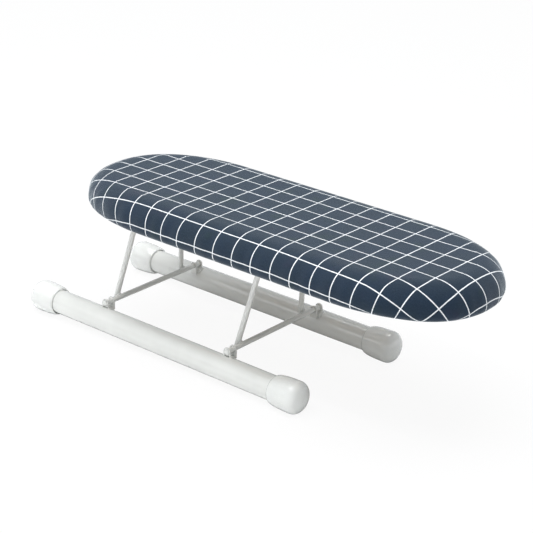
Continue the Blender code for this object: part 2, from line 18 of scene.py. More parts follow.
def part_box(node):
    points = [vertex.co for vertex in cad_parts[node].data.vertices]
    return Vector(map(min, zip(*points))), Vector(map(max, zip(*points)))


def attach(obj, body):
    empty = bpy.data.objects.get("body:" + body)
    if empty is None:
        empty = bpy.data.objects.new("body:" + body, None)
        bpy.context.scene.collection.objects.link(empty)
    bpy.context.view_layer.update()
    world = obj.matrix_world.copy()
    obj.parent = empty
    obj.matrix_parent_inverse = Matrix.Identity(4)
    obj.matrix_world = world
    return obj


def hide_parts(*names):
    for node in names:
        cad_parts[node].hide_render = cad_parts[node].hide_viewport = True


MM = 0.001
SHARP_ANGLE = math.radians(38)  # edges that turn more are shaded sharp

# Camera and stage
CAMERA_PLACE = (0.9714, -1.1510, 0.7434)
CAMERA_AZIMUTH = math.radians(40.24)
CAMERA_ELEVATION = math.radians(23.2)
CAMERA_ROLL = math.radians(1.03)
CAMERA_LENS = 112.5
FLOOR_HALF = 6.0
FLOOR_WHITENING = 0.92  # share of plain white that the camera sees
SURROUND_BRIGHT_WAY = (-0.85, -0.1, 0.5)
SURROUND_STRENGTHS = (0.32, 0.50)  # weakest and strongest
SURROUND_COLOUR = (0.93, 0.97, 1.0, 1.0)
LIGHTS = {  # place, target, size, watts
    "overhead": ((-0.25, -0.1, 2.3), (0.0, 0.0, 0.0), (2.2, 2.2), 48),
    "strip": ((-0.2, -0.8, 2.1), (-0.2, 0.0, 0.0), (2.2, 0.15), 10),
    "left_fill": ((-1.6, -2.2, 1.4), (0.0, 0.0, 0.08), (1.6, 1.2), 4.5),
    "low_fill": ((1.0, -1.4, 0.3), (0.0, 0.07, 0.02), (0.8, 0.3), 2.2),
}
# Painted shade: white surfaces are greyed toward this grey where they turn away from the viewer
PAINTED_RIM_SHADE_RANGE = (0.68, 0.97)  # painted shade: how far white surfaces turn away from the viewer where their colour is greyed
PAINTED_RIM_SHADE_GREY = (0.30, 0.32, 0.32)

# Board outline in plan and the cover's edge, as the CAD solids have them
STRAIGHT_HALF = 117 * MM
OUTLINE_POWER = 2.14
TOP_ROUND = (25 * MM, 21.2 * MM)  # inward, downward
LOW_ROUND = (7.4 * MM, 8.3 * MM)  # inward, upward
PANEL_CLEARANCE = 1.6 * MM  # cover's lowest face to the panel

# Cover mesh
END_COLUMNS = 40  # mesh columns across each rounded end
SIDE_COLUMNS = 108  # and along each long side
RING_STEP = 4.0 * MM
CLOTH_THICKNESS = 0.7 * MM
RIPPLE_DEPTH = 0.35 * MM  # of the upright ripples down the sides
RIPPLE_WAVE = 21.0 * MM
RIPPLE_FROM = (12 * MM, 24 * MM)  # down the cloth from the flat top
RIPPLE_TO = (38 * MM, 52 * MM)
WAVE_DRIFTS = ((1.9, 5.3, 0.7), (1.1, 2.7, 2.1))  # radians, length in waves, start
LEFT_FULLNESS = 2.0 * MM  # past the CAD solid round the left end
TIP_FULLNESS = 0.8 * MM  # and low on the free end
END_SAG = 1.6 * MM  # of the cover's lower edge round both ends
END_RANGE = (0.2, 0.85)  # how far the outline faces an end

# Drawn hem
HEM_INSET = 28.5 * MM
HEM_DEPTH = 0.8 * MM  # cord's centre below the cover's lowest face
HEM_RADIUS = 1.9 * MM
HEM_TURNS = (182, 450)  # degrees, from the sheet to above the cord
HEM_OPEN = (310, 430)  # where the buttonhole opens the roll
HEM_TURN_IN = 4.0 * MM  # stitched allowance above the sheet
HEM_CRIMP = 0.12  # share of the radius
HEM_SAG_SHARE = 0.3  # of the pucker depth
PUCKER_DEPTH = 1.8 * MM
PUCKER_WAVE = 11.5 * MM
SIDE_PUCKERS = 0.35  # of the ends' depth, along the long sides
PUCKER_LIMIT = 2.2 * MM  # lowest gathers
PUCKER_RISE = 0.5 * MM  # keeps the gathers off the panel
CLOTH_FRAMES = 20
CLOTH_DRAWN_AT = 12  # frame at which the hem is drawn in
CLOTH_FLARE = math.radians(45)  # of the underside before the hem is drawn in
CLOTH_SETTINGS = {
    "quality": 6,
    "mass": 0.15,
    "tension_stiffness": 12,
    "compression_stiffness": 12,
    "bending_stiffness": 0.05,
    "use_pressure": True,
    "uniform_pressure_force": 6.0,
}
BUTTONHOLE_COLUMNS = 2  # on each side of the free end's tip
STITCH_LENGTH = 2.6 * MM
STITCH_PITCH = 3.7 * MM
STITCH_RADIUS = 0.28 * MM
STITCH_INSET = 23.4 * MM
STITCH_ARC = {0.0: 0.5, 0.15: -0.7, 0.5: -1.0, 0.85: -0.7, 1.0: 0.5}  # along: radii up into the cloth

FOAM_CRUMB = 0.3 * MM
FOAM_CRUMB_SIZE = 3.5 * MM

# Drawcord
CORD_RADIUS = 1.0 * MM
CORD_TAIL_SPREAD = 2.0 * MM
CORD_TAIL_LENGTH = 38.0 * MM
CORD_TAIL_DROP = 5.2 * MM
CORD_MOUTH = 4.0 * MM  # from the tip to where the tails leave the hem
CORD_BEND = 2.2 * MM
CORD_BEND_COLUMNS = 3  # at the tip
CORD_BRAID_PITCH = 2.6 * MM

# Check and weave
CHECK = 23.4 * MM
CHECK_START = (-112.05 * MM, -77.36 * MM)  # one line each way on the flat top
LINE_WIDTH = 1.04 * MM
LINE_SOFTNESS = 0.22 * MM
LINE_WAVER = 0.35 * MM
THREAD = 0.62 * MM

# How far fitting the cover drags its cloth, in millimetres, and where along the board
DRAG_LEFT_TOP = 0.6
DRAG_LEFT_SIDE = 7.7
DRAG_LEFT_RANGE = (25, 115)
DRAG_SIDE_DEPTH = 36
DRAG_RIGHT = 2.7
DRAG_RIGHT_RANGE = (150, 195)
DRAG_TIP = 3.3
DRAG_TIP_RANGE = (205, 250)
DRAG_TIP_DEPTHS = (3, 18)
DRAG_TIP_FACING = (0.45, 0.85)
DRAG_DOWN = 1.95
DRAG_DOWN_RANGE = (35, 60)
DRAG_DOWN_ENDS = ((70, 150), (90, 150))  # fades out toward the free end and toward the other
DRAG_SPREAD = 4.6
DRAG_SPREAD_RANGE = (170, 235)

# Tubes and caps
TUBE_WALL = 1.2 * MM
TUBE_EDGE = 0.25 * MM
TUBE_SIDES = 72
CAP_BORE_RADIUS = 12.8 * MM
CAP_BORE_DEPTH = 24.5 * MM
CAP_MOUTH_RADIUS = 13.9 * MM
CAP_MOUTH_CHAMFER = 0.45 * MM
CAP_LIP = 0.6 * MM
CAP_WIDEST_AT = 23.0 * MM
CAP_CORNER = 8.5 * MM
CAP_CORNER_TURNS = (86, 20)  # degrees from the cap's axis
CAP_DOME = 1.5 * MM
GATE_MARK = (1.7 * MM, 0.25 * MM)  # radius and depth of the end face's dimple

# Wires and welds
LEG_WIRE_RADIUS = 2.75 * MM
LEG_LEAN = math.radians(11.1)
LEG_HALF_WIDTH_LOW = 47.8 * MM
LEG_HALF_WIDTH_TOP = 32.2 * MM
LEG_TAIL = 7.0 * MM
LEG_BEND = 7.5 * MM
WELD_OFFSET = 6.05 * MM  # between the axes of a leg and of its cross wire
CROSS_WIRE_RADIUS = 2.7 * MM
SWAGE_LENGTH = 1.3 * MM
SWAGE_DOME = ((0.0, 0.25), (0.25, 0.7), (0.6, 0.95), (0.8, 1.0), (1.0, 1.0))  # shares: along, radius
WIRE_SIDES = 28
WELD_PAD = (1.25 * MM, 2.9 * MM, 2.7 * MM)  # half sizes: between the wires, across, up
WELD_LUMPS = (0.12, 2.3, 10 * MM)  # share of the size, fineness, spacing in the noise
BRACKET_HALF_WIDTH = 4.2 * MM
BRACKET_TILT = math.radians(27.0)
BEAD_RADIUS = 1.0 * MM
BEAD_HALF_LENGTH = 3.6 * MM
BEAD_RIDGES = 9  # weld ripples along a bead
BEAD_RIDGE = 0.18 * BEAD_RADIUS

# Screws
SCREW_HEAD_RADIUS = 3.2 * MM
SCREW_HEAD_HEIGHT = 2.2 * MM
SCREW_SHANK_RADIUS = 1.5 * MM
SCREW_THREAD_DEPTH = 0.28 * MM
SCREW_THREAD_PITCH = 1.1 * MM
SCREW_POINT = 1.8 * MM
RECESS_ARM = (0.42 * MM, 1.85 * MM)  # half width and reach of the cross recess
RECESS_DEPTH = 1.1 * MM
SCREW_SIDES = 48
SCREW_STOP = 2.4  # radians that each screw is turned past the last

# CAD parts that keep their shape
CAD_WELD = 0.002 * MM
CAD_SMOOTH_ANGLE = math.radians(33)
CAD_BEVEL_ANGLE = math.radians(40)


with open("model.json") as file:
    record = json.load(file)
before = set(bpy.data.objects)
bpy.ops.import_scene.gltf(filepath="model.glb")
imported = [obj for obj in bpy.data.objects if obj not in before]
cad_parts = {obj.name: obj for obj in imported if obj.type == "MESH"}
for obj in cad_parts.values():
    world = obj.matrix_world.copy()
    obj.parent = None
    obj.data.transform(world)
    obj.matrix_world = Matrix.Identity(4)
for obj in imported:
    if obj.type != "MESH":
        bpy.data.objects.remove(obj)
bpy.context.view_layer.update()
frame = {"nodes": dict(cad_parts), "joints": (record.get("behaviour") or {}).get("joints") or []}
NODES = frame["nodes"]
stage = bpy.context.scene


# Small mesh helpers


def new_object(name, data):
    thing = bpy.data.objects.new(name, data)
    stage.collection.objects.link(thing)
    return thing


def new_mesh(name, points, faces):
    mesh = bpy.data.meshes.new(name)
    mesh.from_pydata([tuple(point) for point in points], [], faces)
    return new_object(name, mesh)


def new_piece(name, shape, body, slot, material, *stands_for):
    """A smooth-shaded mesh piece that rides on a body in place of some CAD nodes."""
    piece = new_mesh(name, *shape)
    piece.data.materials.append(material)
    piece.data.shade_smooth()
    piece.data.set_sharp_from_angle(angle=SHARP_ANGLE)
    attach(piece, body)
    if stands_for:
        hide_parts(*stands_for)
    return piece


def mark_places(piece, name, places):
    """Keeps a place for each point of a piece, for its material to read."""
    places = np.asarray(places, np.float32)
    piece.data.attributes.new(name, "FLOAT_VECTOR", "POINT").data.foreach_set("vector", places.ravel())


def band_faces(columns, above, below):
    """Quads between two rings, given the number of each ring's first point."""
    pairs = [(i, (i + 1) % columns) for i in range(columns)]
    return [(below + i, below + j, above + j, above + i) for i, j in pairs]


def skin(rings, wrap=False):
    """Points and outward faces of a body over equal closed rings; open runs get end faces."""
    count = len(rings[0])
    points = np.vstack(rings)
    faces = []
    spans = len(rings) if wrap else len(rings) - 1
    for r in range(spans):
        faces += band_faces(count, (r + 1) % len(rings) * count, r * count)
    if not wrap:
        faces += [tuple(range(count))[::-1], tuple(range(len(points) - count, len(points)))]
    corners = [(face[0], b, c) for face in faces for b, c in zip(face[1:-1], face[2:])]
    if np.linalg.det(points[corners]).sum() < 0:  # six times the volume
        faces = [face[::-1] for face in faces]
    return points, faces


def joined(shapes):
    """One points and faces pair from several."""
    points, faces = [], []
    for more_points, more_faces in shapes:
        faces += [tuple(len(points) + i for i in face) for face in more_faces]
        points += list(more_points)
    return points, faces


def circle_points(sides):
    """Rows of (cos, sin) round a circle."""
    turns = np.linspace(0, 2 * math.pi, sides, endpoint=False)
    return np.column_stack([np.cos(turns), np.sin(turns)])


def turned(profile, sides, axis, centre, wrap=False):
    """A body turned about a line through centre, from (distance along the line, radius) rows."""
    along = Vector(axis)
    across = along.orthogonal().normalized()
    circle = circle_points(sides) @ np.array([across, along.cross(across)])
    start = np.array(centre)
    return skin([start + x * np.array(along) + r * circle for x, r in profile], wrap)


def arc(centre, radii, start, end, steps):
    """Rows of an elliptical arc in a plane, angles in degrees."""
    angles = np.radians(np.linspace(start, end, steps + 1))
    return [(centre[0] + radii[0] * math.cos(a), centre[1] + radii[1] * math.sin(a)) for a in angles]


def filleted(corners, radius, steps):
    """The path through the corners, each turn replaced by an arc of the given radius."""
    corners = [Vector(corner) for corner in corners]
    path = [corners[0]]
    for before, corner, after in zip(corners, corners[1:], corners[2:]):
        arriving = (corner - before).normalized()
        leaving = (after - corner).normalized()
        turn = arriving.angle(leaving)
        centre = corner + (leaving - arriving).normalized() * radius / math.cos(turn / 2)
        spoke = corner - arriving * radius * math.tan(turn / 2) - centre
        axis = arriving.cross(leaving)
        path += [centre + Matrix.Rotation(turn * i / steps, 3, axis) @ spoke for i in range(steps + 1)]
    path.append(corners[-1])
    return path


def swept(path, radius, sides, nose=0.0):
    """A round rod along a path, its ends rounded over by nose, and (distance, cos, sin) of each point."""
    path = [Vector(point) for point in path]
    side = (path[1] - path[0]).orthogonal()
    last = None
    rings, places = [], []
    walked = 0.0
    circle = circle_points(sides)
    rounding = [(0.0, 1.0), (0.45 * nose, 0.87), (0.8 * nose, 0.6), (nose, 0.25)]
    for i, point in enumerate(path):
        way = (path[min(i + 1, len(path) - 1)] - path[max(i - 1, 0)]).normalized()
        if last is not None:
            side = last.rotation_difference(way) @ side
            walked += (point - path[i - 1]).length
        side = (side - way * side.dot(way)).normalized()
        frame_rows = np.array([side, way.cross(side)])
        stations = [(0.0, 1.0)]
        if nose and i == 0:
            stations = [(-ahead, share) for ahead, share in rounding[::-1]]
        if nose and i == len(path) - 1:
            stations = rounding
        for ahead, share in stations:
            rings.append(np.array(point + way * ahead) + radius * share * circle @ frame_rows)
            places.append(np.column_stack([np.full(sides, walked + ahead), circle]))
        last = way
    return *skin(rings), np.vstack(places)


def smoothstep(value, low, high):
    share = np.clip((value - low) / (high - low), 0.0, 1.0)
    return share * share * (3 - 2 * share)


def walked_along(points):
    """Distance from the first of some points to each, along them."""
    return np.concatenate([[0.0], np.cumsum(np.linalg.norm(np.diff(points, axis=0), axis=1))])


# Node materials


class Nodes:
    """Short calls for building a node tree, whose kinds of node share the start of their names."""

    def __init__(self, tree, prefix="ShaderNode"):
        self.tree = tree
        self.prefix = prefix

    def feed(self, socket, value):
        if isinstance(value, bpy.types.NodeSocket):
            self.tree.links.new(value, socket)
        else:
            socket.default_value = value

    def add(self, kind, *values, **named):
        """A new node: its first inputs in order, then its settings (lower case) and inputs by name."""
        node = self.tree.nodes.new(self.prefix + kind)
        for socket, value in zip(node.inputs, values):
            self.feed(socket, value)
        for name, value in named.items():
            if name.islower():
                setattr(node, name, value)
            else:
                self.feed(node.inputs[name.replace("_", " ")], value)
        return node

    def out(self, kind, *values, **named):
        return self.add(kind, *values, **named).outputs[0]


class Shading(Nodes):
    """One node material, whose patterns lie in object coordinates or in a mesh attribute."""

    def __init__(self, name, attribute=None):
        self.material = bpy.data.materials.new(name)
        self.material.use_nodes = True
        super().__init__(self.material.node_tree)
        self.shader = self.tree.nodes["Principled BSDF"]
        if attribute:
            self.place = self.attribute(attribute)
        else:
            self.place = self.add("TexCoord").outputs["Object"]

    def set(self, **values):
        for name, value in values.items():
            self.feed(self.shader.inputs[name.replace("_", " ")], value)
        return self.material

    def attribute(self, name):
        return self.add("Attribute", attribute_name=name).outputs["Vector"]

    def vector_math(self, operation, a, b):
        return self.out("VectorMath", a, b, operation=operation)

    def math(self, operation, a, b=0.0):
        return self.out("Math", a, b, operation=operation)

    def stretched(self, *scale):
        return self.vector_math("MULTIPLY", self.place, scale)

    def noise(self, per_metre, detail=3.0, roughness=0.5, vector=None):
        sizes = {"Scale": per_metre, "Detail": detail, "Roughness": roughness}
        return self.out("TexNoise", vector or self.place, **sizes)

    def cells(self, per_metre):
        return self.out("TexVoronoi", self.place, Scale=per_metre)

    def remap(self, value, low, high, to_low=0.0, to_high=1.0):
        places = (value, low, high, to_low, to_high)
        return self.out("MapRange", *places, interpolation_type="SMOOTHSTEP")

    def mix(self, share, a, b, blend="MIX"):
        """Colour a where share is 0 and b where it is 1."""
        node = self.add("Mix", share, data_type="RGBA", blend_type=blend)
        for number, colour in ((6, a), (7, b)):
            self.feed(node.inputs[number], (*colour, 1.0) if isinstance(colour, tuple) else colour)
        return node.outputs[2]

    def blend(self, value, low, high, a, b, most=1.0):
        """Colour a below low, turning to b above high, or to at most a share of b."""
        return self.mix(self.remap(value, low, high, 0.0, most), a, b)

    def painted_rim_shade(self, colour):
        """The colour with painted shade: greyer where the surface turns away from the viewer, standing in
        for the shade of studio flags.
        """
        turned_away = self.add("LayerWeight", Blend=0.5).outputs["Facing"]
        return self.mix(self.remap(turned_away, *PAINTED_RIM_SHADE_RANGE), colour, PAINTED_RIM_SHADE_GREY)

    def bump(self, height, strength, distance, **normal):
        return self.out("Bump", Strength=strength, Distance=distance, Height=height, **normal)


def fabric_material():
    """Woven cotton: slate yarns with fine flecks and a thin white check woven in."""
    s = Shading("checked_cotton", "fabric_place")
    split = s.add("SeparateXYZ", s.place)
    waver = s.math("MULTIPLY", s.math("SUBTRACT", s.noise(420, 2), 0.5), LINE_WAVER)
    half_line = LINE_WIDTH / 2
    lines = []
    threads = []
    for axis, start in zip(("X", "Y"), CHECK_START):
        along = s.math("SUBTRACT", split.outputs[axis], start)
        cell = s.math("DIVIDE", along, CHECK)
        off = s.math("ABSOLUTE", s.math("SUBTRACT", cell, s.math("ROUND", cell)))
        away = s.math("ADD", s.math("MULTIPLY", off, CHECK), waver)
        lines.append(s.remap(away, half_line - LINE_SOFTNESS, half_line + LINE_SOFTNESS, 1.0, 0.0))
        threads.append(s.math("SINE", s.math("MULTIPLY", along, math.pi / THREAD)))
    white = s.math("MAXIMUM", *lines)
    over = s.math("GREATER_THAN", s.math("MULTIPLY", *threads), 0.0)
    warp, weft = (s.math("ABSOLUTE", thread) for thread in threads)
    weave = s.math("ADD", s.math("MULTIPLY", over, s.math("SUBTRACT", warp, weft)), weft)
    fleck = s.noise(1500, 3, 0.7, s.stretched(1.0, 0.35, 1.0))
    fade = s.noise(22, 3, 0.6)
    tint = s.noise(34, 2, vector=s.vector_math("ADD", s.place, (0.7, 0.3, 0.0)))
    slate = s.blend(fleck, 0.35, 0.7, (0.0065, 0.020, 0.038), (0.0155, 0.034, 0.060))
    slate = s.blend(fade, 0.35, 0.65, slate, (0.007, 0.024, 0.060), 0.35)
    slate = s.blend(tint, 0.42, 0.3, slate, (0.011, 0.032, 0.038), 0.5)
    slate = s.blend(tint, 0.58, 0.7, slate, (0.018, 0.024, 0.053), 0.5)
    colour = s.mix(white, slate, (0.95, 0.975, 1.0))
    # painted shade: the colour is darkened where the weave's threads dip between crossings
    shade = s.math("ADD", 0.86, s.math("MULTIPLY", weave, 0.14))
    grey = s.out("CombineColor", shade, shade, shade)
    s.set(Base_Color=s.mix(1.0, colour, grey, "MULTIPLY"), Roughness=0.88, Specular_IOR_Level=0.35)
    s.set(Sheen_Weight=0.50, Sheen_Roughness=0.42, Sheen_Tint=(0.86, 0.94, 1.0, 1.0))
    fine = s.bump(weave, 0.25, 0.12 * MM)
    return s.set(Normal=s.bump(s.noise(60, 3), 0.25, 0.6 * MM, Normal=fine))


def powder_coat_material():
    """Glossy white powder coat with a faint orange-peel texture, and painted shade that greys it where it
    turns away from the viewer.
    """
    s = Shading("powder_coat_gloss")
    peel = s.noise(520, 2, 0.4)
    cloud = s.noise(30)
    colour = s.blend(cloud, 0.3, 0.7, (0.755, 0.762, 0.735), (0.80, 0.807, 0.778))
    # painted shade: the coat's colour is greyed where the surface turns away from the viewer
    s.set(Base_Color=s.painted_rim_shade(colour), Roughness=s.remap(cloud, 0.2, 0.8, 0.26, 0.38))
    return s.set(Coat_Weight=1.0, Coat_IOR=1.75, Coat_Roughness=0.1, Normal=s.bump(peel, 0.05, 0.25 * MM))


def cap_material():
    """Moulded white polyethylene: soft gloss, fine scuffs, a little light under its skin."""
    s = Shading("cap_plastic_gloss")
    cloud = s.noise(45)
    scuff = s.noise(260, 5, 0.65, s.stretched(1.0, 6.0, 6.0))
    colour = s.blend(cloud, 0.3, 0.7, (0.81, 0.822, 0.80), (0.86, 0.869, 0.848))
    # painted shade: the cap's colour is greyed where the surface turns away from the viewer
    s.set(Base_Color=s.painted_rim_shade(colour), Roughness=s.remap(scuff, 0.35, 0.75, 0.16, 0.32))
    s.set(Coat_Weight=0.7, Coat_Roughness=0.08)
    s.set(Subsurface_Weight=0.12, Subsurface_Radius=(1.0, 1.0, 0.9), Subsurface_Scale=1.5 * MM)
    return s.set(Normal=s.bump(scuff, 0.05, 0.15 * MM))


def zinc_material():
    """Bright zinc plate: a fine drawn grain and cloudy brightness."""
    s = Shading("zinc_plate_bright")
    grain = s.noise(2600, 4, 0.7, s.stretched(0.12, 1.0, 1.0))
    cloud = s.noise(140, 4, 0.6)
    colour = s.blend(cloud, 0.3, 0.7, (0.52, 0.54, 0.55), (0.72, 0.73, 0.72))
    s.set(Base_Color=colour, Metallic=1.0, Roughness=s.remap(grain, 0.25, 0.75, 0.24, 0.5))
    return s.set(Normal=s.bump(grain, 0.12, 0.08 * MM))


def fibreboard_material():
    """Pressed brown fibreboard: short matted fibres, dark specks and a waxy face."""
    s = Shading("pressed_fibreboard")
    fibres = s.noise(900, 6, 0.75, s.stretched(0.3, 1.0, 1.0))
    crossing = s.noise(700, 6, 0.75, s.stretched(1.0, 0.3, 1.0))
    matted = s.math("MULTIPLY", s.math("ADD", fibres, crossing), 0.5)
    specks = s.remap(s.cells(420), 0.05, 0.22, 1.0, 0.0)
    colour = s.blend(matted, 0.35, 0.65, (0.25, 0.18, 0.115), (0.46, 0.36, 0.25))
    colour = s.mix(s.math("MULTIPLY", specks, 0.45), colour, (0.09, 0.055, 0.03))
    s.set(Base_Color=colour, Roughness=s.remap(matted, 0.3, 0.7, 0.6, 0.85))
    return s.set(Normal=s.bump(matted, 0.3, 0.25 * MM))


def foam_material():
    """Open-cell polyurethane foam."""
    s = Shading("open_cell_foam")
    pores = s.remap(s.cells(900), 0.1, 0.5)
    cloud = s.noise(60)
    # painted shade: the foam's colour is darker inside the pores
    colour = s.mix(pores, (0.42, 0.36, 0.24), (0.83, 0.77, 0.58))
    colour = s.blend(cloud, 0.3, 0.7, colour, (0.88, 0.8, 0.56), 0.3)
    return s.set(Base_Color=colour, Roughness=0.95, Normal=s.bump(pores, 0.6, 0.4 * MM))


def cord_material():
    """White elastic cord with a braided sleeve: two sets of strands wound opposite ways."""
    s = Shading("braided_elastic")
    split = s.add("SeparateXYZ", s.attribute("rod_place"))
    around = s.math("MULTIPLY", s.math("ARCTAN2", split.outputs["Z"], split.outputs["Y"]), 4)
    along = s.math("MULTIPLY", split.outputs["X"], 2 * math.pi / CORD_BRAID_PITCH)
    strands = [s.math("SINE", s.math(way, along, around)) for way in ("ADD", "SUBTRACT")]
    braid = s.math("MAXIMUM", *strands)
    fuzz = s.noise(2600, 4, 0.7)
    grime = s.noise(90)
    # painted shade: the cord's colour is darker in the grooves between the braided strands
    colour = s.blend(braid, -0.4, 0.9, (0.55, 0.55, 0.53), (0.86, 0.86, 0.84))
    colour = s.blend(grime, 0.45, 0.75, colour, (0.52, 0.5, 0.46), 0.25)
    raised = s.math("ADD", braid, s.math("MULTIPLY", fuzz, 0.3))
    return s.set(Base_Color=colour, Roughness=0.82, Sheen_Weight=0.3, Normal=s.bump(raised, 0.6, 0.15 * MM))


def thread_material():
    """Sewing thread: two plies twisted together."""
    s = Shading("sewing_thread")
    plies = s.noise(3200, 2, vector=s.stretched(1.0, 1.0, 2.0))
    colour = s.blend(plies, 0.35, 0.65, (0.5, 0.51, 0.53), (0.8, 0.81, 0.82))
    return s.set(Base_Color=colour, Roughness=0.7, Sheen_Weight=0.2, Normal=s.bump(plies, 0.4, 0.1 * MM))


def black_plastic_material():
    """Satin black moulded plastic with a fine spark-eroded grain."""
    s = Shading("satin_black_plastic")
    grain = s.noise(1800, 3, 0.6)
    wear = s.noise(160, 4)
    colour = s.blend(wear, 0.5, 0.8, (0.018, 0.018, 0.019), (0.05, 0.05, 0.05), 0.5)
    s.set(Base_Color=colour, Roughness=s.remap(grain, 0.3, 0.7, 0.36, 0.52))
    return s.set(Normal=s.bump(grain, 0.18, 0.1 * MM))


# Cover and foam: rings down over the edge, and a grid on the flat top


def plan_outline(count):
    """Evenly spaced points round the board's outline, from the free end's tip, and the outward normals."""
    low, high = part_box("fabric_cover")
    centre = np.array([(low.x + high.x) / 2, (low.y + high.y) / 2])
    half_length, half_width = (high.x - low.x) / 2, (high.y - low.y) / 2
    end = half_length - STRAIGHT_HALF
    turn = np.linspace(0.0, math.pi / 2, 1500)
    share_x = np.clip(np.cos(turn), 0.0, 1.0) ** (2 / OUTLINE_POWER)
    share_x[-1] = 0.0
    share_y = np.sin(turn) ** (2 / OUTLINE_POWER)
    power = OUTLINE_POWER - 1
    normal = np.stack([share_x**power / end, share_y**power / half_width], 1)
    point = np.stack([STRAIGHT_HALF + end * share_x, half_width * share_y], 1)
    quarter = np.hstack([point, normal / np.linalg.norm(normal, axis=1)[:, None]])
    rear = np.vstack([quarter, quarter[::-1] * (-1, 1, -1, 1)])
    loop = np.vstack([rear, rear[::-1][1:] * (1, -1, 1, -1)])
    walked = walked_along(loop[:, :2])
    stops = np.linspace(0.0, walked[-1], count, endpoint=False)
    even = np.stack([np.interp(stops, walked, loop[:, k]) for k in range(4)], 1)
    outward = even[:, 2:] / np.linalg.norm(even[:, 2:], axis=1)[:, None]
    return even[:, :2] + centre, outward, stops


def uneven_wave(distance, length):
    """A wave from 0 to 1 whose length drifts as it goes."""
    phase = distance / length * 2 * math.pi
    drift = sum(size * np.sin(phase / waves + start) for size, waves, start in WAVE_DRIFTS)
    return 0.5 + 0.5 * np.sin(phase + drift)


def dragged(flat, plan, outward, depth):
    """Unrolled cloth places after fitting has dragged the cloth to both ends, down in front and apart."""
    low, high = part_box("fabric_cover")
    half_width = (high.y - low.y) / 2
    x, y, depth = plan[:, 0] / MM, plan[:, 1] / MM, depth / MM
    at_tip = smoothstep(outward[:, 0], *DRAG_TIP_FACING)
    kept = 1 - smoothstep(depth, *DRAG_TIP_DEPTHS) * (1 - at_tip)
    left = DRAG_LEFT_TOP + DRAG_LEFT_SIDE * np.minimum(depth / DRAG_SIDE_DEPTH, 1.0)
    along = smoothstep(-x, *DRAG_LEFT_RANGE) * left
    along += DRAG_RIGHT * smoothstep(x, *DRAG_RIGHT_RANGE) * kept
    along += DRAG_TIP * smoothstep(x, *DRAG_TIP_RANGE) * kept
    to_right, to_left = DRAG_DOWN_ENDS
    middle = (1 - smoothstep(x, *to_right)) * (1 - smoothstep(-x, *to_left))
    across = DRAG_DOWN * smoothstep(-y, *DRAG_DOWN_RANGE) * middle
    across += DRAG_SPREAD * y * MM / half_width * smoothstep(x, *DRAG_SPREAD_RANGE)
    places = flat - np.column_stack([along, across]) * MM
    return np.column_stack([places, np.zeros(len(places))])


class Rim:
    """The cover's mesh columns, with their gathers, ripples and fullness."""

    def __init__(self):
        self.columns = 2 * (END_COLUMNS + SIDE_COLUMNS)
        self.outline, self.outward, self.walked = plan_outline(self.columns)
        self.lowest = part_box("board_panel")[0].z - PANEL_CLEARANCE
        facing = self.outward[:, 0]
        at_end = SIDE_PUCKERS + (1 - SIDE_PUCKERS) * smoothstep(np.abs(facing), 0.05, 0.55)
        swell = 0.75 + 0.25 * np.sin(self.walked / (7.1 * PUCKER_WAVE) * 2 * math.pi + 1.3)
        self.fold = uneven_wave(self.walked, PUCKER_WAVE) * swell * at_end
        self.ripple = uneven_wave(self.walked + 0.3 * RIPPLE_WAVE, RIPPLE_WAVE) * 2 - 1
        self.profile, self.under_from = edge_profile(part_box("fabric_cover")[1].z, self.lowest)
        self.hem_at = self.profile[-1, 2]
        self.left_share = smoothstep(-facing, *END_RANGE)
        self.tip_share = smoothstep(facing, *END_RANGE)

    def plan(self, inset):
        return self.outline - np.full(self.columns, inset)[:, None] * self.outward

    def ring(self, inset, height):
        return np.column_stack([self.plan(inset), np.full(self.columns, height)])

    def cloth(self, inset, down):
        """Places on the unrolled cloth of a ring that lies `down` below the flat top's edge."""
        down = np.full(self.columns, down)
        flat = self.plan(TOP_ROUND[0]) + down[:, None] * self.outward
        return dragged(flat, self.plan(inset), self.outward, down)

    def fullness(self, down):
        """How far the cover stands out and sags at its two ends, `down` below the flat top's edge."""
        kept = 1 - smoothstep(down, self.under_from, self.hem_at)
        low = smoothstep(down, 0.5 * self.under_from, self.under_from - LOW_ROUND[1]) * kept
        stands_out = LEFT_FULLNESS * self.left_share * smoothstep(down, 0.0, TOP_ROUND[0]) * kept
        stands_out += TIP_FULLNESS * self.tip_share * low
        return stands_out, END_SAG * (self.left_share + self.tip_share) * low


def edge_profile(top, lowest):
    """Rows of (inset, height, distance down the cloth) to the hem, and where the flat underside starts."""
    high = arc((TOP_ROUND[0], top - TOP_ROUND[1]), TOP_ROUND, 90, 180, 60)
    low = arc((LOW_ROUND[0], lowest + LOW_ROUND[1]), LOW_ROUND, 180, 270, 30)
    dense = np.array(high + low + [(HEM_INSET - HEM_RADIUS, lowest)])
    walked = walked_along(dense)
    stops = np.linspace(0.0, walked[-1], round(walked[-1] / RING_STEP) + 1)
    rows = [np.interp(stops, walked, dense[:, 0]), np.interp(stops, walked, dense[:, 1]), stops]
    return np.column_stack(rows), walked[-2]


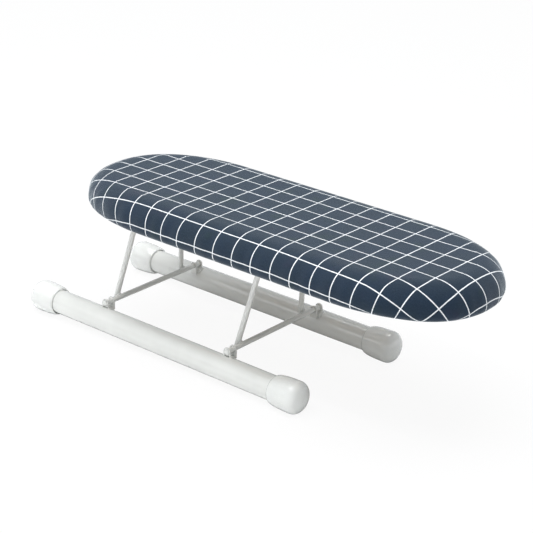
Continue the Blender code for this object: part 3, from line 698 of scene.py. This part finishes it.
def filled_top(ring, start):
    """Points that fill a ring, numbered from start, and faces of a grid over them and the ring."""
    count = len(ring)
    corner = END_COLUMNS // 2
    rear_left = corner + SIDE_COLUMNS
    front_left = rear_left + END_COLUMNS
    along, across = np.arange(SIDE_COLUMNS + 1), np.arange(END_COLUMNS + 1)
    front, rear = (front_left + along) % count, (rear_left - along) % count
    left, right = (front_left - across) % count, (corner - END_COLUMNS + across) % count
    s = np.linspace(0, 1, SIDE_COLUMNS + 1)[None, :, None]
    t = np.linspace(0, 1, END_COLUMNS + 1)[:, None, None]
    ruled = (1 - t) * ring[front][None] + t * ring[rear][None]
    ruled = ruled + (1 - s) * ring[left][:, None] + s * ring[right][:, None]
    near = (1 - s) * ring[front[0]] + s * ring[front[-1]]
    far = (1 - s) * ring[rear[0]] + s * ring[rear[-1]]
    inner = (ruled - (1 - t) * near - t * far)[1:-1, 1:-1]
    ids = np.zeros((END_COLUMNS + 1, SIDE_COLUMNS + 1), int)
    ids[1:-1, 1:-1] = start + np.arange(inner.shape[0] * inner.shape[1]).reshape(inner.shape[:2])
    ids[0, :], ids[-1, :], ids[:, 0], ids[:, -1] = front, rear, left, right
    faces = np.stack([ids[:-1, :-1], ids[:-1, 1:], ids[1:, 1:], ids[1:, :-1]], 2).reshape(-1, 4)
    return inner.reshape(-1, 3), faces.tolist()


def stack_faces(columns, count):
    """Outward quads between rings of points, the highest ring first."""
    faces = []
    for number in range(1, count):
        faces += band_faces(columns, (number - 1) * columns, number * columns)
    return faces


def cover_sheet(rim):
    """Points, cloth places, undrawn points (the underside flares down) and faces, rings first."""
    points, places, undrawn = [], [], []
    for inset, height, down in rim.profile:
        drop = PUCKER_DEPTH * rim.fold * smoothstep(down, rim.under_from - LOW_ROUND[1], rim.hem_at)
        swell = smoothstep(down, *RIPPLE_FROM) * (1 - smoothstep(down, *RIPPLE_TO))
        stands_out, sag = rim.fullness(down)
        ring = rim.ring(inset - RIPPLE_DEPTH * rim.ripple * swell - stands_out, height - drop - sag)
        points.append(ring)
        places.append(rim.cloth(inset, down + stands_out))
        beyond = down - rim.under_from
        reach, fall = beyond * math.cos(CLOTH_FLARE), beyond * math.sin(CLOTH_FLARE)
        flared = rim.ring(LOW_ROUND[0] + reach - stands_out, rim.lowest - fall - drop - sag)
        undrawn.append(flared if beyond > 0 else ring)
    points, places, undrawn = (np.vstack(rows) for rows in (points, places, undrawn))
    inner, grid_faces = filled_top(points[: rim.columns], len(points))
    depth, upward = np.zeros(len(inner)), np.zeros((len(inner), 2))
    places = np.vstack([places, dragged(inner[:, :2], inner[:, :2], upward, depth)])
    points, undrawn = np.vstack([points, inner]), np.vstack([undrawn, inner])
    return points, places, undrawn, stack_faces(rim.columns, len(rim.profile)) + grid_faces


def simulate_cloth(undrawn, drawn, faces, held):
    """Cloth simulation of drawing the hem in: held points are led to their drawn places."""
    sheet = new_mesh("cloth_draft", undrawn, faces)
    sheet.shape_key_add(name="undrawn")
    lead = sheet.shape_key_add(name="drawn")
    lead.data.foreach_set("co", drawn.astype(np.float32).ravel())
    for frame_number, value in ((1, 0.0), (CLOTH_DRAWN_AT, 1.0)):
        lead.value = value
        lead.keyframe_insert("value", frame=frame_number)
    pins = sheet.vertex_groups.new(name="held")
    pins.add(np.flatnonzero(held).tolist(), 1.0, "REPLACE")
    cloth = sheet.modifiers.new("settle", "CLOTH")
    for name, value in CLOTH_SETTINGS.items():
        setattr(cloth.settings, name, value)
    cloth.settings.vertex_group_mass = "held"
    cloth.settings.effector_weights.gravity = 0.0
    cloth.collision_settings.use_collision = False
    cloth.point_cache.frame_end = CLOTH_FRAMES
    for moment in range(1, CLOTH_FRAMES + 1):
        stage.frame_set(moment)
    settled = sheet.evaluated_get(bpy.context.evaluated_depsgraph_get()).data
    moved = np.array([tuple(vert.co) for vert in settled.vertices])
    stage.frame_set(1)
    mesh = sheet.data
    bpy.data.objects.remove(sheet)
    bpy.data.meshes.remove(mesh)
    return moved


def settled_cover(rim, points, undrawn, faces):
    """The sheet with its underside gathered by simulation, held between the panel and a lowest level."""
    columns = rim.columns
    under = range(int(np.searchsorted(rim.profile[:, 2], rim.under_from)), len(rim.profile) - 1)
    held = np.ones(len(points), bool)
    held[under[0] * columns : (under[-1] + 1) * columns] = False
    settled = simulate_cloth(undrawn, points, faces, held)
    settled[held] = points[held]
    for number in under:
        row = slice(number * columns, (number + 1) * columns)
        sag = rim.fullness(rim.profile[number, 2])[1]
        lowest, highest = rim.lowest - PUCKER_LIMIT - sag, rim.lowest + PUCKER_RISE
        settled[row, 2] = np.clip(settled[row, 2], lowest, highest)
    return settled


def hem_rows(rim):
    """(inset, height, distance on from the sheet, turn in degrees) of the hem's rings."""
    reach = HEM_RADIUS * (1 - HEM_CRIMP * uneven_wave(rim.walked, 0.7 * PUCKER_WAVE))
    centre = rim.lowest - HEM_DEPTH
    first, last = HEM_TURNS
    rows = []
    for turn in np.linspace(first, last, 9):
        across, up = math.cos(math.radians(turn)), math.sin(math.radians(turn))
        sag = HEM_SAG_SHARE * PUCKER_DEPTH * rim.fold * (1 - max(0.0, up))
        further = HEM_RADIUS * math.radians(turn - first)
        rows.append((HEM_INSET + reach * across, centre + reach * up - sag, further, turn))
    for share in (0.4, 1.0):
        inward = share * HEM_TURN_IN
        further = HEM_RADIUS * math.radians(last - first) + inward
        rows.append((HEM_INSET - inward, centre + HEM_RADIUS, further, last))
    return rows


def build_cover(material):
    """The cover, its hem rolled round the cord with a buttonhole at the free end."""
    rim = Rim()
    points, places, undrawn, faces = cover_sheet(rim)
    points = settled_cover(rim, points, undrawn, faces)
    above = (len(rim.profile) - 1) * rim.columns
    columns = np.arange(rim.columns)
    hole = (columns < BUTTONHOLE_COLUMNS) | (columns >= rim.columns - BUTTONHOLE_COLUMNS)
    for inset, height, further, turn in hem_rows(rim):
        below = len(points)
        points = np.vstack([points, rim.ring(inset, height)])
        places = np.vstack([places, rim.cloth(inset, rim.hem_at + further)])
        inner_side = HEM_OPEN[0] < turn < HEM_OPEN[1]
        band = band_faces(rim.columns, above, below)
        faces += [face for face, open_here in zip(band, hole) if not (inner_side and open_here)]
        above = below
    shape = points, faces
    cover = new_piece("cotton_cover", shape, "board", "checked_fabric", material, "fabric_cover")
    mark_places(cover, "fabric_place", places)
    smooth = cover.modifiers.new("smooth", "SUBSURF")
    smooth.levels = smooth.render_levels = 1
    cover.modifiers.new("thickness", "SOLIDIFY").thickness = CLOTH_THICKNESS
    return rim, cover


def build_stitches(rim, cover, material):
    """A running stitch through the hem's turned-in allowance, lying on the cloth from below."""
    surface = BVHTree.FromObject(cover, bpy.context.evaluated_depsgraph_get())
    loop = rim.plan(STITCH_INSET)
    loop = np.vstack([loop, loop[:1]])
    walked = walked_along(loop)
    count = int(walked[-1] / STITCH_PITCH)
    shapes = []
    for number in range(count):
        start = walked[-1] * number / count
        path = []
        for share, up in STITCH_ARC.items():
            stop = start + share * STITCH_LENGTH
            x, y = np.interp(stop, walked, loop[:, 0]), np.interp(stop, walked, loop[:, 1])
            hit = surface.ray_cast(Vector((x, y, rim.lowest - 20 * MM)), Vector((0.0, 0.0, 1.0)))[0]
            if hit is not None:
                path.append(hit + Vector((0.0, 0.0, up * STITCH_RADIUS)))
        if len(path) == len(STITCH_ARC):
            shapes.append(swept(path, STITCH_RADIUS, 8)[:2])
    new_piece("hem_stitching", joined(shapes), "board", "white_cord", material)


def build_foam(rim, material):
    """Foam slab with rounded upper edges and a slightly crumbly skin, flat on the panel."""
    low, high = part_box("foam_pad")
    inward = low.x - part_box("fabric_cover")[0].x
    rows = arc((TOP_ROUND[0], low.z), (TOP_ROUND[0] - inward, high.z - low.z), 90, 180, 8)
    rows += [(TOP_ROUND[0], low.z)]
    points = np.vstack([rim.ring(inset, height) for inset, height in rows])
    faces = stack_faces(rim.columns, len(rows))
    bottom = (len(rows) - 1) * rim.columns
    faces.append(tuple(range(bottom, bottom + rim.columns))[::-1])
    inner, grid_faces = filled_top(points[: rim.columns], len(points))
    crumb = [noise.noise(Vector(point) / FOAM_CRUMB_SIZE) for point in inner]
    inner[:, 2] -= FOAM_CRUMB * (0.5 + 0.5 * np.array(crumb))
    shape = np.vstack([points, inner]), faces + grid_faces
    new_piece("foam_layer", shape, "board", "foam", material, "foam_pad")


def build_cord(rim, material):
    """Elastic cord round the hem, both tails leaving by the buttonhole at the free end."""
    depth = rim.lowest - HEM_DEPTH
    drop = rim.lowest - CORD_TAIL_DROP
    loop = rim.ring(HEM_INSET, depth)
    tip = loop[0, 0]
    skipped = CORD_BEND_COLUMNS
    halves = []
    for sign, first in ((1, loop[skipped]), (-1, loop[-skipped])):
        y = sign * CORD_TAIL_SPREAD
        tail = [(tip - CORD_TAIL_LENGTH, y, drop), (tip - CORD_TAIL_LENGTH / 3, y, drop)]
        tail += [(tip - CORD_MOUTH, y, depth), (tip, y, depth), first]
        halves.append(filleted(tail, CORD_BEND, 6)[:-1])
    around = [Vector(point) for point in loop[skipped : -skipped + 1]]
    path = halves[0] + around + halves[1][::-1]
    points, faces, places = swept(path, CORD_RADIUS, 16, nose=0.8 * MM)
    cord = new_piece("elastic_cord", (points, faces), "board", "white_cord", material, "drawcord")
    mark_places(cord, "rod_place", places)


# Base and legs: finer caps, tubes and wires in their CAD places


def tube_line(side):
    """A base tube's left end, length and radius."""
    low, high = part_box(side + "_tube")
    return Vector((low.x, (low.y + high.y) / 2, (low.z + high.z) / 2)), high.x - low.x, (high.z - low.z) / 2


def cap_profile(length, radius):
    """(distance from the mouth, radius) rows of a hollow push-on cap."""
    rows = [(CAP_BORE_DEPTH, 0.6 * MM), (CAP_BORE_DEPTH, CAP_BORE_RADIUS)]
    rows += [(CAP_LIP, CAP_BORE_RADIUS), (0.0, CAP_BORE_RADIUS + CAP_MOUTH_CHAMFER)]
    rows += [(0.0, CAP_MOUTH_RADIUS - CAP_MOUTH_CHAMFER)]
    for share in (1 - np.cos(np.linspace(0, math.pi / 2, 16))):
        bulge = math.sqrt(1 - (1 - share) ** 2)
        x = CAP_LIP + share * (CAP_WIDEST_AT - CAP_LIP)
        rows.append((x, CAP_MOUTH_RADIUS + bulge * (radius - CAP_MOUTH_RADIUS)))
    corner_at = (length - CAP_DOME - CAP_CORNER, radius - CAP_CORNER)
    rows += arc(corner_at, (CAP_CORNER, CAP_CORNER), *CAP_CORNER_TURNS, 12)
    edge_x, edge_radius = rows[-1]
    gate_radius, gate_depth = GATE_MARK
    for share in (0.8, 0.6, 0.4, 1.15 * gate_radius / edge_radius, gate_radius / edge_radius):
        rows.append((length - (length - edge_x) * share**2, edge_radius * share))
    rows += [(length - gate_depth, 0.85 * gate_radius), (length - gate_depth, 0.4 * MM)]
    return rows


def build_caps(material):
    for side in ("front", "rear"):
        axis = tube_line(side)[0]
        for end, way in (("left", -1.0), ("right", 1.0)):
            node = f"{side}_{end}_cap"
            low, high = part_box(node)
            mouth = (high.x if way < 0 else low.x, axis.y, axis.z)
            profile = cap_profile(high.x - low.x, (high.y - low.y) / 2)
            points, faces = turned(profile, TUBE_SIDES, (way, 0.0, 0.0), mouth)
            points[:, 2] = np.maximum(points[:, 2], low.z)
            new_piece(node + "_moulded", (points, faces), "base", "white_cap_plastic", material, node)


def build_tubes(material):
    for side in ("front", "rear"):
        start, length, radius = tube_line(side)
        bore, edge = radius - TUBE_WALL, TUBE_EDGE
        profile = [(0.0, bore + edge), (0.0, radius - edge), (edge, radius), (length - edge, radius)]
        profile += [(length, radius - edge), (length, bore + edge), (length - edge, bore), (edge, bore)]
        shape = turned(profile, TUBE_SIDES, (1.0, 0.0, 0.0), start, wrap=True)
        new_piece(side + "_base_tube", shape, "base", "white_powder_coat", material, side + "_tube")


def joint_place(name):
    """A joint's position at rest, in metres."""
    return next(Vector(joint["pos_m"]) for joint in frame["joints"] if joint["name"] == name)


def build_wires(material):
    """Cross wires with domed, swaged heads, and the legs bent from one wire each."""
    left_low, top = joint_place("left_leg_fold"), joint_place("board_swing")
    across = Vector((0.0, 1.0, 0.0))
    up = Vector((math.sin(LEG_LEAN), 0.0, math.cos(LEG_LEAN)))
    back = Vector((-math.cos(LEG_LEAN), 0.0, math.sin(LEG_LEAN))) * WELD_OFFSET
    length = (top.z - left_low.z - back.z) / up.z
    foot = LEG_HALF_WIDTH_LOW + (LEG_HALF_WIDTH_LOW - LEG_HALF_WIDTH_TOP) / length * LEG_TAIL
    to_weld = back * (CROSS_WIRE_RADIUS / (CROSS_WIRE_RADIUS + LEG_WIRE_RADIUS))
    for end in ("left", "right"):
        body, slot = end + "_leg", "white_powder_coat"
        pivot = joint_place(end + "_leg_fold")
        node = end + "_cross_wire"
        low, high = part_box(node)
        head, whole = (high.x - low.x) / 2, high.y - low.y
        dome = [(along * SWAGE_LENGTH, share * head) for along, share in SWAGE_DOME]
        dome += [(SWAGE_LENGTH, CROSS_WIRE_RADIUS)]
        profile = dome + [(whole - y, radius) for y, radius in dome[::-1]]
        shape = turned(profile, WIRE_SIDES, across, (pivot.x, low.y, pivot.z))
        new_piece(node + "_swaged", shape, body, slot, material, node)
        bottom, head_height = pivot + back - up * LEG_TAIL, pivot + back + up * length
        corners = [bottom - across * foot, head_height - across * LEG_HALF_WIDTH_TOP]
        corners += [head_height + across * LEG_HALF_WIDTH_TOP, bottom + across * foot]
        shape = swept(filleted(corners, LEG_BEND, 14), LEG_WIRE_RADIUS, WIRE_SIDES)[:2]
        node = end + "_leg_wire"
        new_piece(node + "_bent", shape, body, slot, material, node)
        pads = []
        for sign in (-1, 1):
            middle = pivot + to_weld + across * sign * LEG_HALF_WIDTH_LOW
            pads.append(weld_pad(middle, back.normalized(), up))
        new_piece(end + "_leg_welds", joined(pads), body, slot, material)


def weld_pad(centre, between, up):
    """A lumpy button of weld metal between two crossed wires."""
    bm = bmesh.new()
    bmesh.ops.create_icosphere(bm, subdivisions=3, radius=1.0)
    across = up.cross(between)
    thick, wide, tall = WELD_PAD
    size, fineness, spacing = WELD_LUMPS
    points = []
    for vert in bm.verts:
        lump = 1 + size * noise.noise(vert.co * fineness + centre / spacing)
        offset = between * vert.co.x * thick + across * vert.co.y * wide + up * vert.co.z * tall
        points.append(centre + offset * lump)
    faces = [tuple(vert.index for vert in face.verts) for face in bm.faces]
    bm.free()
    return np.array(points), faces


def build_bracket_welds(material):
    """A bead across each tube at both edges of every bracket."""
    beads = []
    for side, sign in (("front", -1), ("rear", 1)):
        axis, _, radius = tube_line(side)
        for end in ("left", "right"):
            for edge in (-1, 1):
                x = joint_place(end + "_leg_fold").x + edge * (BRACKET_HALF_WIDTH + 0.35 * BEAD_RADIUS)
                path = []
                for step in np.linspace(-1, 1, 25):
                    angle = BRACKET_TILT + step * BEAD_HALF_LENGTH / radius
                    rise = radius + 0.25 * BEAD_RADIUS + BEAD_RIDGE * math.sin(step * BEAD_RIDGES * math.pi)
                    spoke = Vector((0.0, -sign * math.sin(angle), math.cos(angle)))
                    path.append(Vector((x, axis.y, axis.z)) + spoke * rise)
                beads.append(swept(path, BEAD_RADIUS, 14, nose=0.7 * BEAD_RADIUS)[:2])
    new_piece("bracket_welds", joined(beads), "base", "white_powder_coat", material)


# Screws


def screw_shape():
    """Pan-head screw with a cross recess and a rolled thread; its head's face is at z = 0, its shank up."""
    circle = circle_points(SCREW_SIDES)
    rings = []

    def ring(radius, height):
        radius, height = np.full(SCREW_SIDES, radius), np.full(SCREW_SIDES, height)
        rings.append(np.column_stack([radius[:, None] * circle, height]))

    half_width, reach = RECESS_ARM
    for share in np.linspace(0.04, 1.0, 22):
        across = np.abs(share * SCREW_HEAD_RADIUS * circle)
        beside, beyond = across.min(axis=1), across.max(axis=1)
        open_here = 1 - smoothstep(beside, half_width, half_width + 0.25 * MM)
        open_here *= (1 - smoothstep(beyond, reach - 0.15 * MM, reach + 0.1 * MM))
        depth = RECESS_DEPTH * (1 - 0.45 * beyond / reach)
        dome = 0.75 * SCREW_HEAD_HEIGHT * (1 - (1 - share**3) ** (1 / 2.2))
        ring(share * SCREW_HEAD_RADIUS, dome + open_here * depth)
    ring(SCREW_HEAD_RADIUS, 0.96 * SCREW_HEAD_HEIGHT)
    ring(0.97 * SCREW_HEAD_RADIUS, SCREW_HEAD_HEIGHT)
    ring(SCREW_SHANK_RADIUS, SCREW_HEAD_HEIGHT)
    low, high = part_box("left_stop_front_screw")
    length = high.z - low.z
    around = np.arange(SCREW_SIDES) / SCREW_SIDES
    thread_from = SCREW_HEAD_HEIGHT + 0.6 * MM
    for height in np.arange(thread_from, length - 0.2 * MM, SCREW_THREAD_PITCH / 6):
        turn = (height / SCREW_THREAD_PITCH - around) % 1.0
        taper = min(1.0, (length - height) / SCREW_POINT)
        ring(taper * (SCREW_SHANK_RADIUS - SCREW_THREAD_DEPTH * np.abs(2 * turn - 1)), height)
    ring(0.12 * MM, length)
    return skin(rings)


def build_screws(material):
    points, faces = screw_shape()
    names = sorted(name for name in NODES if name.endswith("_screw") or "_strap_screw_" in name)
    for number, node in enumerate(names):
        low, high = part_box(node)
        spin = np.array(Matrix.Rotation(number * SCREW_STOP, 3, "Z")).T
        placed = points @ spin + np.array([(low.x + high.x) / 2, (low.y + high.y) / 2, low.z])
        new_piece(node + "_pan_head", (placed, faces), "board", "zinc_plate", material, node)


# CAD parts that keep their shape


def smoothing_group():
    """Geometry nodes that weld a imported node's loose triangles and smooth all but its real edges."""
    group = bpy.data.node_groups.new("weld_and_smooth", "GeometryNodeTree")
    for in_out in ("INPUT", "OUTPUT"):
        group.interface.new_socket("Geometry", in_out=in_out, socket_type="NodeSocketGeometry")
    tree = Nodes(group, prefix="")
    shape = tree.out("NodeGroupInput")
    welded = tree.out("GeometryNodeMergeByDistance", Geometry=shape, Distance=CAD_WELD)
    smoothed = tree.out("GeometryNodeSetShadeSmooth", Geometry=welded)
    angle = tree.out("GeometryNodeInputMeshEdgeAngle")
    sharp = tree.out("FunctionNodeCompare", angle, CAD_SMOOTH_ANGLE, operation="GREATER_THAN")
    named = {"domain": "EDGE", "Geometry": smoothed, "Selection": sharp, "Shade_Smooth": False}
    tree.add("NodeGroupOutput", tree.out("GeometryNodeSetShadeSmooth", **named))
    return group


def refine_cad(material, edge_round, *nodes):
    """Keeps CAD nodes: welds and smooths them, rounds their edges slightly and repaints them."""
    group = bpy.data.node_groups.get("weld_and_smooth") or smoothing_group()
    for name in nodes:
        node = NODES[name]
        node.data.materials.clear()
        node.data.materials.append(material)
        node.modifiers.new("weld", "WELD").merge_threshold = CAD_WELD
        if edge_round:
            bevel = node.modifiers.new("edges", "BEVEL")
            bevel.width, bevel.segments = edge_round, 2
            bevel.limit_method, bevel.angle_limit = "ANGLE", CAD_BEVEL_ANGLE
        node.modifiers.new("smooth", "NODES").node_group = group


# Stage


def build_floor():
    """A plain pale floor, kept nearly white in the picture and seen from above only."""
    s = Shading("studio_floor")
    s.set(Base_Color=(0.93, 0.93, 0.93, 1.0), Roughness=0.9, Specular_IOR_Level=0.1)
    seen_by_camera = s.add("LightPath").outputs["Is Camera Ray"]
    share = s.math("MULTIPLY", seen_by_camera, FLOOR_WHITENING)
    white = s.out("Emission")
    seen = s.out("MixShader", share, s.shader.outputs[0], white)
    behind = s.add("NewGeometry").outputs["Backfacing"]
    clear = s.out("BsdfTransparent")
    either = s.out("MixShader", behind, seen, clear)
    s.feed(s.tree.nodes["Material Output"].inputs["Surface"], either)
    h = FLOOR_HALF
    floor = new_mesh("floor", [(-h, -h, 0), (h, -h, 0), (h, h, 0), (-h, h, 0)], [(0, 1, 2, 3)])
    floor.data.materials.append(s.material)


def put(thing, at, rotation):
    thing.location = at
    thing.rotation_mode = "QUATERNION"
    thing.rotation_quaternion = rotation


def build_light():
    """The lights, and a pale surround that is brightest toward SURROUND_BRIGHT_WAY."""
    world = bpy.data.worlds.new("surround")
    world.use_nodes = True
    tree = Nodes(world.node_tree)
    direction = tree.add("TexCoord").outputs["Generated"]
    bright_way = Vector(SURROUND_BRIGHT_WAY).normalized()
    toward = tree.add("VectorMath", direction, bright_way, operation="DOT_PRODUCT")
    strength = tree.add("MapRange", toward.outputs["Value"], -1.0, 1.0, *SURROUND_STRENGTHS)
    background = world.node_tree.nodes["Background"]
    tree.feed(background.inputs["Strength"], strength.outputs["Result"])
    tree.feed(background.inputs["Color"], SURROUND_COLOUR)
    stage.world = world
    for name, (at, target, size, watts) in LIGHTS.items():
        lamp = bpy.data.lights.new(name, "AREA")
        lamp.shape = "RECTANGLE"
        lamp.size, lamp.size_y = size
        lamp.energy = watts
        put(new_object(name, lamp), at, (Vector(target) - Vector(at)).to_track_quat("-Z", "Y"))


def build_camera():
    a, e = CAMERA_AZIMUTH, CAMERA_ELEVATION
    back = Vector((math.sin(a) * math.cos(e), -math.cos(a) * math.cos(e), math.sin(e)))
    lens = bpy.data.cameras.new("camera")
    lens.lens = CAMERA_LENS
    camera = new_object("camera", lens)
    level = (-back).to_track_quat("-Z", "Y")
    put(camera, CAMERA_PLACE, level @ Quaternion((0.0, 0.0, 1.0), CAMERA_ROLL))
    stage.camera = camera
    stage.view_settings.view_transform = "Standard"


def build():
    coat = powder_coat_material()
    zinc = zinc_material()
    ends = [(side, end) for side in ("front", "rear") for end in ("left", "right")]
    rim, cover = build_cover(fabric_material())
    build_stitches(rim, cover, thread_material())
    build_foam(rim, foam_material())
    build_cord(rim, cord_material())
    build_caps(cap_material())
    build_tubes(coat)
    build_wires(coat)
    build_bracket_welds(coat)
    build_screws(zinc)
    refine_cad(coat, 0.3 * MM, *(f"{side}_{end}_bracket" for side, end in ends))
    refine_cad(coat, 0.3 * MM, "left_leg_stop", "right_leg_stop")
    refine_cad(zinc, 0.25 * MM, *(f"{side}_{end}_hinge_strap" for side, end in ends))
    refine_cad(fibreboard_material(), 0, "board_panel")
    refine_cad(black_plastic_material(), 0.3 * MM, "cord_lock")
    build_floor()
    build_light()
    build_camera()


build()
